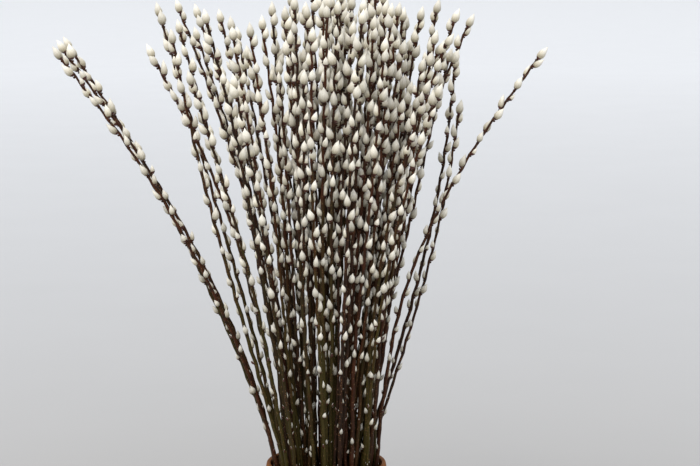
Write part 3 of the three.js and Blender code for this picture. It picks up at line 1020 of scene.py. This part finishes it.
def tree_applied(name, mesh, tree, values):
    """Runs a node tree on a mesh and keeps the result as a plain mesh object."""
    seed = stand(name + "_seed", mesh)
    modifier = seed.modifiers.new("tree", "NODES")
    modifier.node_group = tree
    for item in tree.interface.items_tree:
        if item.in_out == "INPUT" and item.name in values:
            modifier[item.identifier] = values[item.name]
    evaluated = seed.evaluated_get(bpy.context.evaluated_depsgraph_get())
    result = bpy.data.meshes.new_from_object(evaluated)
    bpy.data.objects.remove(seed)
    return stand(name, result)


# ---------------------------------------------------------------- the vase


EASING_STEPS = 8  # points between two rings of the frame's vase
FOOT_BEVEL = 2 * MM
RINGS_FROM, RINGS_GROW = 12 * MM, 20 * MM  # the throwing rings start above the foot and deepen
RINGS_TO, RINGS_FADE = 14 * MM, 10 * MM  # and are gone below the rim


def vase_outline():
    """The vase's outline as radius and height, from the foot's middle round the lip to the floor's."""
    mesh = merged(VASE_NODE)
    levels = {}
    for v in mesh.verts:
        levels.setdefault(round(v.co.z, 5), set()).add(round(v.co.xy.length, 5))
    mesh.free()
    heights = sorted(levels)
    floor = next(z for z in heights if z > 0 and min(levels[z]) < 1 * MM)
    outer = [(max(levels[z]), z) for z in heights if z != floor]
    inner = [(min(levels[z]), z) for z in reversed(heights) if z > floor and len(levels[z]) > 1]
    inner += [(r, floor) for r in sorted(levels[floor], reverse=True) if r > 1 * MM]
    return outer, inner


def eased(points, steps):
    """A smooth run through radius and height points."""
    run = []
    padded = [points[0]] + list(points) + [points[-1]]
    for a, b, c, d in zip(padded, padded[1:], padded[2:], padded[3:]):
        for k in range(steps):
            t = k / steps
            run.append(tuple(
                0.5 * (2 * q + (r - p) * t + (2 * p - 5 * q + 4 * r - s) * t ** 2
                       + (3 * q - p - 3 * r + s) * t ** 3)
                for p, q, r, s in zip(a, b, c, d)))
    return run + [tuple(points[-1])]


def lathe(name, outline, segments):
    """A closed body turned about Z from an outline that starts and ends on the axis."""
    mesh = bmesh.new()
    rings = []
    for radius, height in outline:
        if radius < SAME_PLACE:
            rings.append([mesh.verts.new((0, 0, height))])
        else:
            turns = [2 * math.pi * k / segments for k in range(segments)]
            places = [(radius * math.cos(a), radius * math.sin(a), height) for a in turns]
            rings.append([mesh.verts.new(place) for place in places])
    for low, high in zip(rings, rings[1:]):
        for k in range(segments):
            n = (k + 1) % segments
            corners = [low[k % len(low)], low[n % len(low)], high[n % len(high)], high[k % len(high)]]
            mesh.faces.new(list(dict.fromkeys(corners)))
    bmesh.ops.recalc_face_normals(mesh, faces=mesh.faces)
    for face in mesh.faces:
        face.smooth = True
    data = bpy.data.meshes.new(name)
    mesh.to_mesh(data)
    mesh.free()
    return stand(name, data)


# ---------------------------------------------------------------- operators


class WILLOW_OT_stems(bpy.types.Operator):
    """Grow bark, buds and catkins on every stem of the bunch"""

    bl_idname = "willow.stems"
    bl_label = "Willow Stems"

    def execute(self, context):
        settings = context.scene.willow.stems
        catkins = context.scene.willow.catkins
        dice = random.Random(catkins.seed)
        strands = {name: trace_strands(name, settings.cut_step) for name in STEM_NODES}
        lines = {}
        for name, found in strands.items():
            for i, strand in enumerate(found):
                lines[(name, i)] = middle_line(strand, settings, catkins)
        ground = BudGround(lines)
        tree = stem_tree()
        values = {
            "Ring Spacing": settings.ring_spacing, "Sides": settings.sides,
            "Node Swelling": settings.swelling, "Swelling Reach": settings.swelling_reach,
            "Bark": willow_bark(settings), "Silk": catkin_silk(catkins),
            "Bud Scale": bud_scale(catkins), "Cut Wood": cut_willow(settings)}
        for name, found in strands.items():
            grown = []
            tone = dice.random()
            for i, strand in enumerate(found):
                line = lines[(name, i)]
                buds = grow_buds(line, (name, i), bool(strand.parent), ground, catkins, dice)
                step_aside(line, buds, settings)
                grown.append((line, buds, tone))
            piece = tree_applied("willow_" + name, stem_skeleton(name, grown), tree, values)
            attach(piece, "root")
            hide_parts(name)
        return {"FINISHED"}


class WILLOW_OT_vase(bpy.types.Operator):
    """Turn the stoneware vase"""

    bl_idname = "willow.vase"
    bl_label = "Stoneware Vase"

    def execute(self, context):
        settings = context.scene.willow.vase
        outer, inner = vase_outline()
        foot = outer[0][0]
        outside = eased([(foot, FOOT_BEVEL)] + outer[1:], EASING_STEPS)
        inside = eased(inner, EASING_STEPS)
        thrown = []
        for radius, height in outside:
            fade = held((height - RINGS_FROM) / RINGS_GROW) * held((RIM - RINGS_TO - height) / RINGS_FADE)
            ring = math.sin(2 * math.pi * height / settings.ring_pitch)
            thrown.append((radius + settings.ring_depth * ring * fade, height))
        floor = inner[-1][1]
        edge = FOOT_BEVEL * 0.3
        underside = [(0, 0), (foot - FOOT_BEVEL, 0), (foot - edge, edge)]
        outline = underside + thrown + inside + [(0, floor)]
        vase = lathe("stoneware_vase", outline, settings.segments)
        vase.data.materials.append(caramel_stoneware(settings))
        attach(vase, "root")
        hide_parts(VASE_NODE)
        return {"FINISHED"}


def area_light(name, place, target, size, power, tint):
    """A soft square light that faces a target."""
    data = bpy.data.lights.new(name, "AREA")
    data.shape = "SQUARE"
    data.size = size
    data.energy = power
    data.color = linear(tint)[:3]
    light = stand(name, data)
    light.location = place
    light.rotation_euler = (Vector(target) - Vector(place)).to_track_quat("-Z", "Y").to_euler()


class WILLOW_OT_stage(bpy.types.Operator):
    """Set out the floor, the lights and the camera"""

    bl_idname = "willow.stage"
    bl_label = "Stage"

    def execute(self, context):
        settings = context.scene.willow.stage
        scene = context.scene
        far = settings.floor_radius
        top, bottom = -0.3 * MM, -10 * MM
        floor = lathe("floor", [(0, top), (far, top), (far, bottom), (0, bottom)], 64)
        floor.data.materials.append(pale_floor(settings))

        world = bpy.data.worlds.new("studio_air")
        world.use_nodes = True
        world.node_tree.nodes.clear()
        sky = add(world.node_tree, "ShaderNodeBackground", {"Color": settings.sky, "Strength": 1.06})
        add(world.node_tree, "ShaderNodeOutputWorld", {"Surface": sky.outputs[0]})
        scene.world = world
        scene.view_settings.view_transform = "Standard"

        middle = (0.02, 0, 0.55)
        area_light("key", (-0.5, -1.3, 2.2), middle, 1.0, 22, "#fffaf2")

        aim = Vector((settings.aim_side, 0, settings.aim_height))
        back = Vector((0, -math.cos(settings.pitch), math.sin(settings.pitch)))
        camera = stand("camera", bpy.data.cameras.new("camera"))
        camera.data.lens = settings.lens
        camera.data.clip_end = 200
        camera.location = aim + back * settings.distance
        camera.rotation_euler = Euler((math.radians(90) - settings.pitch, 0, 0))
        scene.camera = camera
        return {"FINISHED"}


class VIEW3D_PT_willow(bpy.types.Panel):
    """Lists the makers of the willow bunch"""

    bl_label = "Willow Stems"
    bl_idname = "VIEW3D_PT_willow"
    bl_space_type = "VIEW_3D"
    bl_region_type = "UI"
    bl_category = "Willow"

    def draw(self, context):
        for operator in MAKERS:
            self.layout.operator(operator.bl_idname)
        for group in ("stems", "catkins", "vase", "stage"):
            settings = getattr(context.scene.willow, group)
            box = self.layout.box()
            box.label(text=group.title())
            for name in settings.__annotations__:
                box.prop(settings, name)


MAKERS = (WILLOW_OT_stage, WILLOW_OT_vase, WILLOW_OT_stems)
GROUPS = (WillowStemSettings, WillowCatkinSettings, WillowVaseSettings, WillowStageSettings, WillowSettings)


def register():
    """Adds the makers, their settings and the panel to Blender."""
    for cls in GROUPS + MAKERS + (VIEW3D_PT_willow,):
        bpy.utils.register_class(cls)
    bpy.types.Scene.willow = bpy.props.PointerProperty(type=WillowSettings)


def unregister():
    """Takes them out again."""
    del bpy.types.Scene.willow
    for cls in reversed(GROUPS + MAKERS + (VIEW3D_PT_willow,)):
        bpy.utils.unregister_class(cls)


def main():
    """Builds the whole scene."""
    register()
    bpy.ops.willow.stage()
    bpy.ops.willow.vase()
    bpy.ops.willow.stems()


if __name__ == "__main__":
    main()
